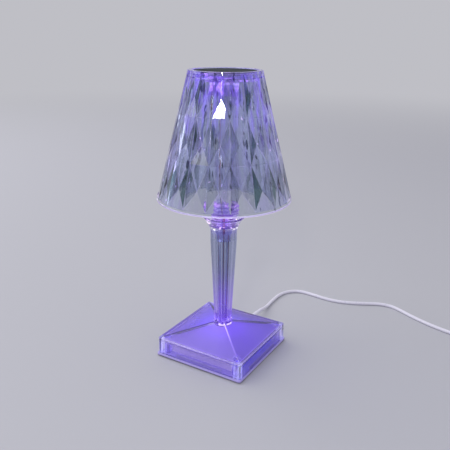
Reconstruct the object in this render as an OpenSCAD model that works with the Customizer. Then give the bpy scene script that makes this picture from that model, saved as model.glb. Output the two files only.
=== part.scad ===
// Table lamp of clear moulded plastic: a faceted shade on a fluted stem and a square hipped base.
// Units are millimetres, +Z is up, and the origin is on the table under the lamp's axis.
// The front of the base faces -Y and its charging socket faces +Y.

/* [Overall] */
// Height from the table to the top rim of the shade
lamp_h = 260; // [245:1:290]
// Gap between parts that slide over or into each other
slide_gap = 0.3; // [0.2:0.05:0.4]
// Gap between parts that are pressed, glued or screwed together
seat_gap = 0.1; // [0.05:0.05:0.15]

/* [Shade] */
// Height of the shade
shade_h = 109.5; // [100:0.5:118]
// Outer diameter of the shade at its bottom rim
shade_rim_d = 118.7; // [108:0.1:130]
// Outer diameter of the shade at its top
shade_top_d = 62.8; // [60:0.1:70]
// Wall of the shade under the facet ridges
shade_wall = 3.4; // [3.2:0.1:4]
// Number of facet columns round the shade
facet_columns = 18; // [14:2:24]
// Number of facet tiers up the shade
facet_tiers = 3; // [2:1:4]
// Step from the plain bands down to the facet ridges
facet_step = 0.2; // [0.1:0.05:0.4]
// Depth of the facet waists below the ridges
facet_depth = 1.7; // [1:0.1:1.9]
// Height of the waists, as a share of the tier's height
facet_waist = 0.42; // [0.3:0.02:0.6]
// Height that the top rim cuts off the highest tier
facet_cut = 1.6; // [0:0.1:5]
// Turn of the facet columns about the lamp's axis, in degrees
facet_turn = 6.7; // [0:0.1:20]
// Height of the plain band at the bottom rim
rim_band_h = 3.4; // [1.5:0.1:5]
// Height of the plain band at the top
top_band_h = 2; // [1:0.5:4]
// Height of the inner ring that the shade hangs on
hang_ring_h = 6; // [4:0.5:8]
// Reach of the hanging ring inwards from the wall
hang_ring_reach = 2.5; // [2:0.1:4]

/* [Lamp head] */
// Thickness of the head tray's floor and flange
head_floor_t = 2; // [1.5:0.1:3]
// Wall of the head tray
head_wall = 1.5; // [1:0.1:2.5]
// Thickness of the touch plate
touch_plate_t = 1.2; // [0.8:0.1:1.5]
// Depth of the touch plate below the shade's rim
touch_plate_drop = 0.6; // [0.3:0.1:1]
// Length of the head's socket for the column
head_socket_h = 12; // [6:0.5:16]
// Wall of the head's socket
head_socket_wall = 3.2; // [1.5:0.1:4]
// Diameter of the light board
light_board_d = 32; // [28:1:38]
// Thickness of both circuit boards
board_t = 1.2; // [1:0.1:1.6]
// Side of the light chip
light_chip_w = 5; // [3.5:0.1:5.4]
// Radius of the lens dome
lens_dome_r = 4.8; // [4.4:0.1:5]

/* [Column] */
// Outer diameter of the clear column
column_d = 19; // [18:0.5:21]
// Wall of the column
column_wall = 2; // [1.5:0.1:2.2]
// Height of the ribbed ferrule above the cup's floor
ferrule_h = 24.5; // [20:0.5:28]
// Wall of the ferrule round the column
ferrule_wall = 1.3; // [1:0.1:2]
// Depth of the column in the ferrule
ferrule_socket_h = 12; // [8:0.5:15]
// Number of ribs round the ferrule
ferrule_ribs = 6; // [4:1:7]

/* [Stem] */
// Height of the stem, its foot included
stem_h = 95; // [85:1:105]
// Diameter of the stem's round foot
stem_foot_d = 18; // [17:0.5:20]
// Height of the stem's round foot
stem_foot_h = 3; // [2:0.5:5]
// Diameter of the shaft where it leaves the foot
shaft_low_d = 16; // [15:0.5:17]
// Diameter of the shaft at its head
shaft_high_d = 24.4; // [22.5:0.2:26]
// Height of the straight head at the top of the shaft
shaft_head_h = 12; // [8:1:16]
// Number of flutes
flute_count = 12; // [8:1:16]
// Depth of the flutes at the shaft's head
flute_depth = 0.9; // [0.4:0.1:1.1]
// Diameter of the wire bore
wire_bore_d = 7; // [6.6:0.2:8]
// Depth of the ferrule's tenon in the stem
tenon_h = 11; // [8:1:13]
// Diameter of the ferrule's tenon
tenon_d = 15; // [13:0.5:16]

/* [Cup] */
// Height of the flared cup
cup_h = 11; // [8:0.5:14]
// Diameter of the cup's lip
cup_lip_d = 37; // [33:0.5:42]
// Thickness of the cup's floor
cup_floor_t = 2.5; // [2:0.1:3.5]
// Wall of the cup
cup_wall = 1.8; // [1.4:0.1:2.5]

/* [Base] */
// Side of the clear base cover
base_w = 88; // [84:0.5:96]
// Height of the cover's side walls
cover_side_h = 15.8; // [15:0.2:20]
// Wall of the cover
cover_wall = 2.6; // [2:0.1:3]
// Width of the flat ledge round the hipped top
ledge_w = 2.5; // [1.5:0.1:4]
// Rise of the hipped top from ledge to apex
hip_rise = 11.6; // [10:0.2:14]
// Chamfer of the cover's upright corners
corner_chamfer = 1.6; // [0.8:0.1:2.5]
// Thickness of the bottom plate
plate_t = 2.2; // [2:0.1:3]
// Reach of the bottom plate's lip past the cover
lip_reach = 1; // [0.5:0.1:1.5]
// Distance of the liner's side walls from the cover's outer face
liner_inset = 10; // [8.5:0.5:11]
// Wall of the liner
liner_wall = 1.2; // [1:0.1:1.6]
// Diameter of the corner bosses
boss_d = 6.6; // [6:0.2:7.6]
// Distance of the corner bosses from the cover's outer faces
boss_inset = 7.2; // [6.5:0.1:8]
// Diameter of the rubber feet
foot_d = 9; // [7:0.5:11]
// Height of the rubber feet below the plate
foot_h = 1; // [0.8:0.1:1.6]
// Depth of the rubber feet's seats in the plate
foot_seat = 0.8; // [0.5:0.1:1.2]
// Distance of the rubber feet from the lamp's axis along X and Y
foot_spread = 28; // [24:0.5:29]

/* [Fixings] */
// Diameter of the hollow screw through the stem's foot
hollow_screw_d = 6; // [5.5:0.1:6.4]
// Bore of the hollow screw
hollow_screw_bore = 4.2; // [4:0.1:4.4]
// Length of the hollow screw in the stem
hollow_screw_reach = 20; // [14:1:26]
// Diameter of the base screws
base_screw_d = 3; // [2.5:0.1:3.2]
// Length of the base screws
base_screw_l = 11; // [9:0.5:13]
// Diameter of the board screws
board_screw_d = 2; // [1.8:0.1:2.2]

/* [Electrics] */
// Length of the battery along X
battery_l = 50; // [44:1:54]
// Width of the battery along Y
battery_w = 34; // [30:1:36]
// Thickness of the battery
battery_t = 7; // [6:0.2:7.6]
// Thickness of the steel counterweight
weight_t = 4; // [3:0.2:4.4]
// Width of the control board along X
control_board_w = 28; // [26:0.5:30]
// Height of the charging socket's axis above the table
socket_z = 6.2; // [6:0.1:6.6]
// Travel of the slide switch
switch_travel = 3; // [2:0.5:3]

/* [Charging lead] */
// Diameter of the charging lead
lead_d = 3.5; // [3.2:0.1:3.8]

/* [Hidden] */
$fn = 64;

// Finishes
clear = [0.86, 0.88, 0.94, 0.35];
pearl = [0.93, 0.93, 0.96];
satin_grey = [0.34, 0.36, 0.36];
white = [0.93, 0.93, 0.92];
steel = [0.72, 0.72, 0.74];
board_green = [0.10, 0.36, 0.22];
black = [0.08, 0.08, 0.09];

// Heights in the base, from the table up
plate_z = foot_h;
plate_top = plate_z + plate_t;
ledge_z = plate_top + cover_side_h;
hip_w = base_w / 2 - ledge_w;
hip_slope = hip_rise / hip_w;
apex_z = ledge_z + hip_rise;
hip_drop = cover_wall * sqrt(1 + hip_slope * hip_slope);
stem_z = apex_z - hip_slope * stem_foot_d / 2;
stem_boss_h = 4;
stem_boss_d = stem_foot_d - 2;

// Heights in the stem and column
stem_top = stem_z + stem_h;
shaft_z = stem_z + stem_foot_h;
shaft_head_z = stem_top - shaft_head_h;
cup_floor_top = stem_top + cup_floor_t;
cup_top = stem_top + cup_h;
ferrule_top = cup_floor_top + ferrule_h;
column_z = ferrule_top - ferrule_socket_h;
column_bore_r = column_d / 2 - column_wall;
ferrule_r = column_d / 2 + seat_gap + ferrule_wall;

// The shade's cone and its hanging ring
shade_z = lamp_h - shade_h;
shade_slope = (shade_rim_d - shade_top_d) / 2 / shade_h;
function shade_r(z) = shade_top_d / 2 + shade_slope * (lamp_h - z);
hang_z = lamp_h - hang_ring_h;
hang_ring_r = shade_r(hang_z) - shade_wall - hang_ring_reach;

// The head, which carries the shade on its flange
flange_z = hang_z - head_floor_t;
flange_r = shade_r(hang_z) - shade_wall - 2 * slide_gap;
tray_r = hang_ring_r - slide_gap;
touch_plate_z = lamp_h - touch_plate_drop - touch_plate_t;
lens_flange_r = 5.6;
lens_flange_t = 1.2;
light_hole_r = lens_flange_r + slide_gap;
chip_t = 1.4;
head_screw_r = 11.5;
head_screw_head_t = 1.2;

// The control board hangs over the bottom plate with its parts on its underside
socket_h = 3.2;
socket_w = 9;
socket_wall = 0.3;
board_z = socket_z + socket_h / 2;
board_top = board_z + board_t;
cover_in = base_w / 2 - cover_wall;
board_rear = cover_in - 2 * slide_gap;
board_l = 28;
board_screw_y = board_rear - 22;
board_screw_x = control_board_w / 2 - 3.5;
board_screw_head_t = 1.2;
socket_l = 7.4;
socket_face = base_w / 2 - 0.6;

// The slide switch hangs under the board
switch_x = -4;
switch_y = board_rear - 13;
switch_l = 8.6;
switch_w = 4;
switch_bottom = plate_top + 2 * slide_gap;
knob_l = 3;
knob_w = 1.6;
knob_neck_h = 1.4;
knob_bottom = plate_z + 0.5;

// Fixings under the stem
washer_t = 1;
washer_d = 13;
nut_flats = 10;
nut_h = 5;
boss_bottom = stem_z - stem_boss_h;
hollow_screw_z = boss_bottom - washer_t - nut_h - 1;
screw_head_d = base_screw_d * 1.9;
screw_head_t = (screw_head_d - base_screw_d) / 2;

// The charging plug and its strain relief, along +Y
plug_gap = 0.15;
plug_shell_w = 8.3;
plug_shell_h = 2.4;
plug_shell_l = 6.6;
plug_body_w = 10.4;
plug_body_h = 5.4;
plug_body_l = 16;
plug_face = base_w / 2 + slide_gap;
relief_y = plug_face + plug_body_l;
relief_l = 11;
lead_y = relief_y + relief_l;

// The far plug lies along -Y on the table
far_shell_w = 12;
far_shell_h = 4.5;
far_shell_l = 12;
far_body_w = 15.4;
far_body_h = 8;
far_body_l = 22;
far_relief_l = 9;
far_x = 251;
far_y = 78;
far_z = far_body_h / 2;

// The coil that the rest of the lead is wound into: three turns on the table and two in their valleys
coil_x = 228.7;
coil_y = 107;
coil_r = 24;
coil_low_turns = 3;
coil_h = lead_d * (1 + sqrt(3) / 2);

// Points of the lead from the strain relief to the coil
lead_route = [
    [0, 71.3, 6.2], [0, 76, 6.2], [0, 82, 5.4], [-0.5, 89, 3.8], [-1.5, 97, 2.4],
    [-2.5, 105, 1.8], [-3, 113, 1.75], [-3.2, 121, 1.75], [-2.8, 129, 1.75],
    [-1, 137, 1.75], [2.8, 144, 1.75], [9, 149.4, 1.75], [16.5, 151.8, 1.75],
    [24.5, 151.8, 1.75], [33, 150.8, 1.75], [42, 149.8, 1.75], [51, 149.6, 1.75],
    [60, 150.6, 1.75], [69, 153, 1.75], [78, 156.6, 1.75], [87, 161.2, 1.75],
    [95, 165.6, 1.75], [102.5, 169, 1.75], [110, 170.4, 1.75], [117.5, 169.6, 1.75],
    [125.5, 166.4, 1.75], [134, 162, 1.75], [143, 157.6, 1.75], [152, 153.6, 1.75],
    [161, 150.2, 1.75], [171, 147.2, 1.75], [181, 144.7, 1.75], [192, 141.8, 1.75],
    [203, 138.9, 1.75], [214, 135.9, 1.75], [225, 132.9, 1.75], [235.1, 130.1, 1.75]
];

// Points of the lead from the coil to the far plug
tail_route = [
    [251, 107, 4.8], [251, 100, 4.6], [251, 93, 4.3], [251, 86, 4], [251, 78, 4]
];

// The wires from the control board, up the stem's bore and the column's side, to the light board
wire_r = 0.45;
wire_pitch = 1;
loom_x = -light_hole_r - 0.5;
loom_route = [
    [0, board_rear - board_l + 2, board_top + wire_r], [0, board_rear - board_l - 1, board_top + 2],
    [0, 8.5, hollow_screw_z - 2], [0, 4, hollow_screw_z - 1.2], [0, 1, hollow_screw_z - 0.4],
    [0, 0, hollow_screw_z + 1.5], [0, 0, stem_z], [0, 0, stem_z + stem_h / 3],
    [0, 0, stem_z + 2 * stem_h / 3], [0, 0, stem_top], [0, 0, column_z - 8],
    [loom_x * 0.2, 0, column_z + 3], [loom_x * 0.55, 0, column_z + 14],
    [loom_x * 0.8, 0, column_z + 28], [loom_x * 0.88, 0, column_z + 44],
    [loom_x * 0.86, 0, column_z + 60], [loom_x * 0.88, 0, column_z + 76],
    [loom_x * 0.92, 0, flange_z - 14], [loom_x * 0.98, 0, flange_z - 5], [loom_x, 0, hang_z - seat_gap]
];

// Sweeps and rounded bars

function unit(v) = v / norm(v);

function heading(route, i) = unit(route[min(i + 1, len(route) - 1)] - route[max(i - 1, 0)]);

// One ring of points round a route, square to it
function route_ring(route, i, r, sides, side_ref) =
    let (along = heading(route, i), side = unit(cross(side_ref, along)), up = cross(along, side))
    [for (k = [0:sides - 1]) route[i] + r * (cos(360 * k / sides) * side + sin(360 * k / sides) * up)];

module swept_tube(route, r, sides, side_ref = [0, 0, 1]) {
    rings = len(route);
    points = [for (i = [0:rings - 1]) each route_ring(route, i, r, sides, side_ref)];
    walls = [
        for (i = [0:rings - 2], k = [0:sides - 1])
            let (a = i * sides + k, b = i * sides + (k + 1) % sides)
            each [[a, a + sides, b + sides], [a, b + sides, b]]
    ];
    first = [for (k = [0:sides - 1]) k];
    last = [for (k = [sides - 1:-1:0]) (rings - 1) * sides + k];
    polyhedron(points, concat([first], walls, [last]));
}

// A bar along +Y with round long edges, centred on X and Z
module round_bar(w, h, l, r) {
    translate([-w / 2 + r, 0, -h / 2])
        cube([w - 2 * r, l, h]);
    translate([-w / 2, 0, -h / 2 + r])
        cube([w, l, h - 2 * r]);
    for (sx = [-1, 1], sz = [-1, 1])
        translate([sx * (w / 2 - r), 0, sz * (h / 2 - r)])
            rotate([-90, 0, 0])
                cylinder(r = r, h = l, $fn = 32);
}

module at_corners(reach) {
    for (sx = [-1, 1], sy = [-1, 1])
        translate([sx * reach, sy * reach, 0])
            children();
}

// A square form whose four sides all have the same profile, given as points of half width and height
module hipped(profile) {
    outline = concat(profile, [for (i = [len(profile) - 1:-1:0]) [-profile[i][0], profile[i][1]]]);
    reach = 2 * profile[0][0] + 2;
    intersection() {
        rotate([90, 0, 0])
            linear_extrude(reach, center = true)
                polygon(outline);
        rotate([90, 0, 90])
            linear_extrude(reach, center = true)
                polygon(outline);
    }
}

// Shade

facet_low = shade_z + rim_band_h;
tier_h = (lamp_h + facet_cut - facet_low) / facet_tiers;

// Facet corners: even levels are the tier lines, odd levels are the waists, half a column on
function facet_corner(level, column) =
    let (
        waist = level % 2,
        z = facet_low + tier_h * (floor(level / 2) + waist * facet_waist),
        r = shade_r(z) - facet_step - waist * facet_depth,
        turn = facet_turn + 360 * (column + waist / 2) / facet_columns
    )
    [r * cos(turn), r * sin(turn), z];

// The faceted body: tall ridged lozenges stand point on point, with two triangles between their waists
module facet_body() {
    n = facet_columns;
    levels = 2 * facet_tiers;
    points = [for (level = [0:levels], k = [0:n - 1]) facet_corner(level, k)];
    facets = [
        for (tier = [0:facet_tiers - 1], k = [0:n - 1])
            let (
                low = 2 * tier * n,
                waist = low + n,
                high = waist + n,
                next = (k + 1) % n,
                before = (k + n - 1) % n
            )
            each [
                [low + k, waist + before, high + k],
                [low + k, high + k, waist + k],
                [low + k, waist + k, low + next],
                [high + k, high + next, waist + k]
            ]
    ];
    bottom = [for (k = [0:n - 1]) k];
    top = [for (k = [n - 1:-1:0]) levels * n + k];
    polyhedron(points, concat([bottom], facets, [top]));
}

module shade_band(z, h) {
    translate([0, 0, z])
        cylinder(r1 = shade_r(z), r2 = shade_r(z + h), h = h, $fn = 128);
}

module shade() {
    color(clear)
        difference() {
            union() {
                difference() {
                    facet_body();
                    translate([0, 0, lamp_h - top_band_h])
                        cylinder(d = shade_rim_d, h = shade_h);
                }
                shade_band(shade_z, rim_band_h);
                shade_band(lamp_h - top_band_h, top_band_h);
            }
            translate([0, 0, shade_z])
                cylinder(r1 = shade_r(shade_z) - shade_wall, r2 = shade_r(hang_z) - shade_wall,
                    h = hang_z - shade_z, $fn = 128);
            translate([0, 0, hang_z - 1])
                cylinder(r = hang_ring_r, h = hang_ring_h + 2, $fn = 128);
        }
}

// Head

module touch_plate() {
    color(satin_grey)
        translate([0, 0, touch_plate_z])
            rotate_extrude($fn = 128)
                polygon([
                    [0, 0], [tray_r - 0.3, 0], [tray_r, 0.3], [tray_r, touch_plate_t - 0.4],
                    [tray_r - 0.4, touch_plate_t], [0, touch_plate_t]
                ]);
}

module head_tray() {
    tray_h = touch_plate_z - hang_z;
    color(pearl)
        difference() {
            union() {
                translate([0, 0, flange_z])
                    cylinder(r = flange_r, h = head_floor_t, $fn = 128);
                translate([0, 0, hang_z])
                    cylinder(r = tray_r, h = tray_h, $fn = 128);
                translate([0, 0, flange_z - head_socket_h])
                    cylinder(d = column_d + 2 * (seat_gap + head_socket_wall), h = head_socket_h);
            }
            translate([0, 0, hang_z])
                cylinder(r = tray_r - head_wall, h = tray_h + 1, $fn = 128);
            translate([0, 0, flange_z - head_socket_h - 1])
                cylinder(d = column_d + 2 * seat_gap, h = head_socket_h + 1);
            translate([0, 0, flange_z - 1])
                cylinder(r = light_hole_r, h = head_floor_t + 2);
            translate([loom_x, 0, flange_z - 1])
                cylinder(r = 2.2, h = head_floor_t + 2);
            head_screw_places()
                translate([0, 0, flange_z - 1])
                    cylinder(d = board_screw_d + 2 * seat_gap, h = head_floor_t + 2);
        }
}

module head_screw_places() {
    for (k = [0:2])
        rotate([0, 0, 60 + 120 * k])
            translate([head_screw_r, 0, 0])
                children();
}

module light_board() {
    color(white)
        translate([0, 0, hang_z])
            difference() {
                cylinder(d = light_board_d, h = board_t);
                head_screw_places()
                    translate([0, 0, -1])
                        cylinder(d = board_screw_d + 2 * seat_gap, h = board_t + 2);
            }
}

module light_chip() {
    color([0.98, 0.93, 0.55])
        translate([-light_chip_w / 2, -light_chip_w / 2, hang_z - chip_t])
            cube([light_chip_w, light_chip_w, chip_t]);
}

module lens() {
    color(clear)
        translate([0, 0, hang_z - lens_flange_t])
            difference() {
                union() {
                    cylinder(r = lens_flange_r, h = lens_flange_t);
                    rotate_extrude()
                        intersection() {
                            circle(r = lens_dome_r);
                            translate([0, -lens_dome_r])
                                square(lens_dome_r);
                        }
                }
                translate([0, 0, lens_flange_t - chip_t - seat_gap])
                    cylinder(d = norm([light_chip_w, light_chip_w]) + 2 * seat_gap, h = 2 * chip_t);
            }
}

// The touch contact: a small coil spring between the light board and the touch plate
module touch_spring() {
    spring_r = 2;
    wire = 0.3;
    turns = 3;
    steps = 12;
    low = hang_z + board_t + wire;
    rise = touch_plate_z - wire - low;
    route = [
        for (i = [0:turns * steps])
            [spring_r * cos(360 * i / steps), spring_r * sin(360 * i / steps),
                low + rise * i / (turns * steps)]
    ];
    color(steel)
        translate([0, 8, 0])
            swept_tube(route, wire, 6);
}

module touch_chip() {
    color(black)
        translate([-3, -10, hang_z + board_t])
            cube([6, 4, 1.5]);
}

module pan_screw(d, head_d, head_t, l) {
    cylinder(d = head_d, h = head_t, $fn = 32);
    translate([0, 0, -l])
        cylinder(d = d, h = l, $fn = 32);
}

module head_screws() {
    color(steel)
        head_screw_places()
            translate([0, 0, hang_z + board_t])
                pan_screw(board_screw_d, 3.6, head_screw_head_t, board_t + head_floor_t - 0.2);
}

// Column, ferrule, cup and stem

module column() {
    color(clear)
        translate([0, 0, column_z])
            difference() {
                cylinder(d = column_d, h = flange_z - column_z);
                translate([0, 0, -1])
                    cylinder(r = column_bore_r, h = flange_z - column_z + 2);
            }
}

module ferrule() {
    rib_r = 0.9;
    rib_pitch = ferrule_h / (ferrule_ribs + 1);
    tenon_r = tenon_d / 2 - seat_gap;
    color(clear)
        difference() {
            union() {
                translate([0, 0, cup_floor_top])
                    cylinder(r = ferrule_r - 0.4, h = ferrule_h);
                for (k = [1:ferrule_ribs])
                    translate([0, 0, cup_floor_top + k * rib_pitch])
                        rotate_extrude()
                            translate([ferrule_r - 0.6, 0])
                                circle(r = rib_r, $fn = 24);
                translate([0, 0, stem_top - tenon_h])
                    cylinder(r = tenon_r, h = tenon_h + cup_floor_t + 1);
            }
            translate([0, 0, stem_top - tenon_h - 1])
                cylinder(d = wire_bore_d, h = tenon_h + cup_floor_t + ferrule_h + 2);
            translate([0, 0, column_z])
                cylinder(d = column_d + 2 * seat_gap, h = ferrule_socket_h + 1);
        }
}

module cup() {
    foot_r = shaft_high_d / 2 + 0.6;
    lip_r = cup_lip_d / 2;
    color(clear)
        translate([0, 0, stem_top])
            difference() {
                rotate_extrude($fn = 96)
                    polygon([
                        [0, 0], [foot_r, 0], [foot_r + 0.5, 1.2], [foot_r + 1, 3.2],
                        [lip_r - 1.6, cup_h - 2.6], [lip_r, cup_h - 1], [lip_r, cup_h],
                        [lip_r - cup_wall, cup_h], [foot_r - 0.4, cup_floor_t + 1],
                        [foot_r - 1.2, cup_floor_t], [0, cup_floor_t]
                    ]);
                translate([0, 0, -1])
                    cylinder(d = tenon_d, h = cup_floor_t + 2);
            }
}

// One flute: a tapered round groove with a ball at its upper end
module flute() {
    low_r = PI * shaft_low_d / flute_count / 2;
    high_r = PI * shaft_high_d / flute_count / 2;
    low_depth = flute_depth * shaft_low_d / shaft_high_d;
    low_x = shaft_low_d / 2 + low_r - low_depth;
    high_x = shaft_high_d / 2 + high_r - flute_depth;
    taper_h = shaft_head_z - shaft_z;
    lean = atan((high_x - low_x) / taper_h);
    top_h = shaft_head_h - high_r - 1.2;
    translate([low_x, 0, shaft_z])
        rotate([0, lean, 0])
            cylinder(r1 = low_r, r2 = high_r, h = norm([high_x - low_x, taper_h]), $fn = 32);
    translate([high_x, 0, shaft_head_z - 0.3]) {
        cylinder(r = high_r, h = top_h + 0.3, $fn = 32);
        translate([0, 0, top_h + 0.3])
            sphere(r = high_r, $fn = 32);
    }
}

module stem() {
    color(clear)
        difference() {
            union() {
                translate([0, 0, stem_z])
                    cylinder(d = stem_foot_d, h = stem_foot_h);
                translate([0, 0, shaft_z])
                    cylinder(d1 = shaft_low_d, d2 = shaft_high_d, h = shaft_head_z - shaft_z);
                translate([0, 0, shaft_head_z])
                    cylinder(d = shaft_high_d, h = shaft_head_h);
            }
            for (k = [0:flute_count - 1])
                rotate([0, 0, 360 * k / flute_count])
                    flute();
            translate([0, 0, stem_z - 1])
                cylinder(d = hollow_screw_d + 2 * seat_gap, h = stem_h + 2);
            translate([0, 0, stem_z + hollow_screw_reach + seat_gap])
                cylinder(d = wire_bore_d, h = stem_h);
            translate([0, 0, stem_top - tenon_h - seat_gap])
                cylinder(d = tenon_d, h = tenon_h + 1);
        }
}

// Fixings of the stem

module hollow_screw() {
    screw_h = stem_z + hollow_screw_reach - hollow_screw_z;
    thread_pitch = 1;
    color(steel)
        translate([0, 0, hollow_screw_z])
            difference() {
                union() {
                    cylinder(d = hollow_screw_d - 0.3, h = screw_h, $fn = 48);
                    for (z = [thread_pitch:thread_pitch:screw_h - thread_pitch])
                        translate([0, 0, z - 0.25])
                            cylinder(d = hollow_screw_d, h = 0.5, $fn = 48);
                }
                translate([0, 0, -1])
                    cylinder(d = hollow_screw_bore, h = screw_h + 2, $fn = 48);
            }
}

module washer() {
    color(steel)
        translate([0, 0, boss_bottom - washer_t])
            difference() {
                cylinder(d = washer_d, h = washer_t);
                translate([0, 0, -1])
                    cylinder(d = hollow_screw_d + 2 * seat_gap, h = washer_t + 2);
            }
}

module foot_nut() {
    color(steel)
        translate([0, 0, boss_bottom - washer_t - nut_h])
            difference() {
                cylinder(d = nut_flats / cos(30), h = nut_h, $fn = 6);
                translate([0, 0, -1])
                    cylinder(d = hollow_screw_d + 2 * seat_gap, h = nut_h + 2);
            }
}

// Place of one of four wires at a point of the loom: side by side, or in a square in the bore
function wire_place(p, k) =
    p[1] >= 1 ? p + [k * wire_pitch, 0, 0]
        : p[2] > column_z ? p + [0, k * wire_pitch, 0]
        : p + 0.75 * wire_pitch * [sign(k), abs(k) > 1 ? 1 : -1, 0];

module wire_loom() {
    color(white)
        for (k = [-1.5:1.5])
            swept_tube([for (p = loom_route) wire_place(p, k)], wire_r, 6, [1, 0.01, 0]);
}

// Base

module base_cover() {
    half = base_w / 2;
    color(clear)
        difference() {
            union() {
                difference() {
                    hipped([[half, plate_top], [half, ledge_z - 0.6], [half - 0.6, ledge_z],
                        [hip_w, ledge_z], [0, apex_z]]);
                    hipped([[cover_in, plate_top - 1], [cover_in, ledge_z - hip_drop
                        + hip_slope * (hip_w - cover_in)], [0, apex_z - hip_drop]]);
                }
                at_corners(half - boss_inset)
                    translate([0, 0, plate_top])
                        cylinder(d = boss_d, h = ledge_z - plate_top - 1, $fn = 48);
                translate([0, 0, boss_bottom])
                    cylinder(d = stem_boss_d, h = stem_boss_h + 0.5);
            }
            rotate([0, 0, 45])
                difference() {
                    translate([0, 0, plate_top + 10])
                        cube([4 * half, 4 * half, 60], center = true);
                    cube([2 * (sqrt(2) * half - corner_chamfer / sqrt(2)),
                        2 * (sqrt(2) * half - corner_chamfer / sqrt(2)), 200], center = true);
                }
            translate([0, 0, stem_z])
                cylinder(d = stem_foot_d + 2 * seat_gap, h = hip_rise);
            translate([0, 0, boss_bottom - 1])
                cylinder(d = hollow_screw_d + 2 * seat_gap, h = stem_boss_h + 2);
            at_corners(half - boss_inset)
                translate([0, 0, plate_top - 1])
                    cylinder(d = base_screw_d + 2 * seat_gap, h = base_screw_l, $fn = 32);
            translate([0, cover_in - 1, socket_z])
                round_bar(socket_w + 2 * slide_gap, socket_h + 2 * slide_gap, cover_wall + 2, 1.8);
        }
}

module base_liner() {
    lid_half = cover_in - slide_gap;
    lid_edge = ledge_z - hip_drop + hip_slope * (hip_w - lid_half) - slide_gap;
    lid_apex = apex_z - hip_drop - slide_gap;
    box_half = base_w / 2 - liner_inset;
    box_in = box_half - liner_wall;
    color(pearl)
        difference() {
            union() {
                hipped([[lid_half, lid_edge - liner_wall], [lid_half, lid_edge], [0, lid_apex]]);
                translate([-box_half, -box_half, plate_top])
                    cube([2 * box_half, 2 * box_half, lid_edge - plate_top]);
            }
            hipped([[box_in, plate_top - 1], [box_in, lid_edge - liner_wall + hip_slope
                * (lid_half - box_in)], [0, lid_apex - liner_wall]]);
            difference() {
                translate([0, 0, lid_edge - liner_wall - 0.005])
                    hipped([[lid_half + 1, -0.5], [lid_half, 0], [0, hip_slope * lid_half]]);
                translate([-box_half, -box_half, 0])
                    cube([2 * box_half, 2 * box_half, apex_z]);
            }
            cylinder(d = stem_boss_d + 2 * slide_gap, h = apex_z);
            at_corners(base_w / 2 - boss_inset)
                cylinder(d = boss_d + 2 * slide_gap, h = apex_z, $fn = 48);
            translate([-control_board_w / 2 - slide_gap, 0, 0])
                cube([control_board_w + 2 * slide_gap, box_half + 1, board_top + slide_gap]);
        }
}

module base_plate() {
    half = base_w / 2 + lip_reach;
    rail_l = base_w * 0.55;
    rail_t = 1.4;
    rail_h = 3;
    color(pearl)
        difference() {
            union() {
                translate([-half + 2, -half, plate_z])
                    cube([2 * half - 4, 2 * half, plate_t]);
                translate([-half, -half + 2, plate_z])
                    cube([2 * half, 2 * half - 4, plate_t]);
                at_corners(half - 2)
                    translate([0, 0, plate_z])
                        cylinder(r = 2, h = plate_t, $fn = 32);
                for (k = [0:3])
                    rotate([0, 0, 90 * k])
                        translate([-rail_l / 2, cover_in - seat_gap - rail_t, plate_top])
                            cube([rail_l, rail_t, rail_h]);
                for (sx = [-1, 1])
                    translate([sx * board_screw_x, board_screw_y, plate_top])
                        cylinder(d = 5, h = board_z - plate_top, $fn = 32);
            }
            translate([-socket_w / 2 - 4, cover_in - 4, plate_top])
                cube([socket_w + 8, 6, rail_h + 1]);
            for (sx = [-1, 1])
                translate([sx * board_screw_x, board_screw_y, plate_top + 0.5])
                    cylinder(d = board_screw_d + 2 * seat_gap, h = board_z, $fn = 32);
            at_corners(foot_spread)
                translate([0, 0, plate_z - 1])
                    cylinder(d = foot_d + 2 * seat_gap, h = foot_seat + 1, $fn = 48);
            at_corners(base_w / 2 - boss_inset) {
                translate([0, 0, plate_z - 1])
                    cylinder(d = base_screw_d + 2 * seat_gap, h = plate_t + 2, $fn = 32);
                translate([0, 0, plate_z - 0.01])
                    cylinder(d1 = screw_head_d + 2 * seat_gap, d2 = base_screw_d + 2 * seat_gap,
                        h = screw_head_t + 0.01, $fn = 32);
            }
            switch_window();
        }
}

// The slot for the switch's knob, with a finger recess under it
module switch_window() {
    slot_l = knob_l + switch_travel + 2 * slide_gap;
    slot_w = knob_w + 2 * slide_gap;
    translate([switch_x - slot_l / 2, switch_y - slot_w / 2, plate_z - 1])
        cube([slot_l, slot_w, plate_t + 2]);
    translate([switch_x - slot_l / 2 - 2, switch_y - slot_w / 2 - 1.6, plate_z - 1])
        cube([slot_l + 4, slot_w + 3.2, 2]);
}

module base_screws() {
    color(steel)
        at_corners(base_w / 2 - boss_inset)
            translate([0, 0, plate_z])
                difference() {
                    union() {
                        cylinder(d1 = screw_head_d, d2 = base_screw_d, h = screw_head_t, $fn = 32);
                        cylinder(d = base_screw_d, h = base_screw_l, $fn = 32);
                    }
                    for (turn = [0, 90])
                        rotate([0, 0, turn])
                            translate([-1.5, -0.3, -1])
                                cube([3, 0.6, 1.7]);
                }
}

module rubber_feet() {
    color(black)
        at_corners(foot_spread)
            cylinder(d = foot_d, h = foot_h + foot_seat, $fn = 48);
}

// Electrics in the base

battery_y = -base_w / 2 + liner_inset + liner_wall + 3;

module counterweight() {
    color(steel)
        translate([-battery_l / 2 - 2, battery_y - 1, plate_top])
            difference() {
                cube([battery_l + 4, battery_w + 1, weight_t]);
                for (x = [8, battery_l - 4])
                    translate([x, battery_w / 2, -1])
                        cylinder(d = 4, h = weight_t + 2, $fn = 32);
            }
}

module battery() {
    color([0.74, 0.76, 0.80])
        translate([0, battery_y, plate_top + weight_t + battery_t / 2])
            round_bar(battery_l, battery_t, battery_w, 2);
}

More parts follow.
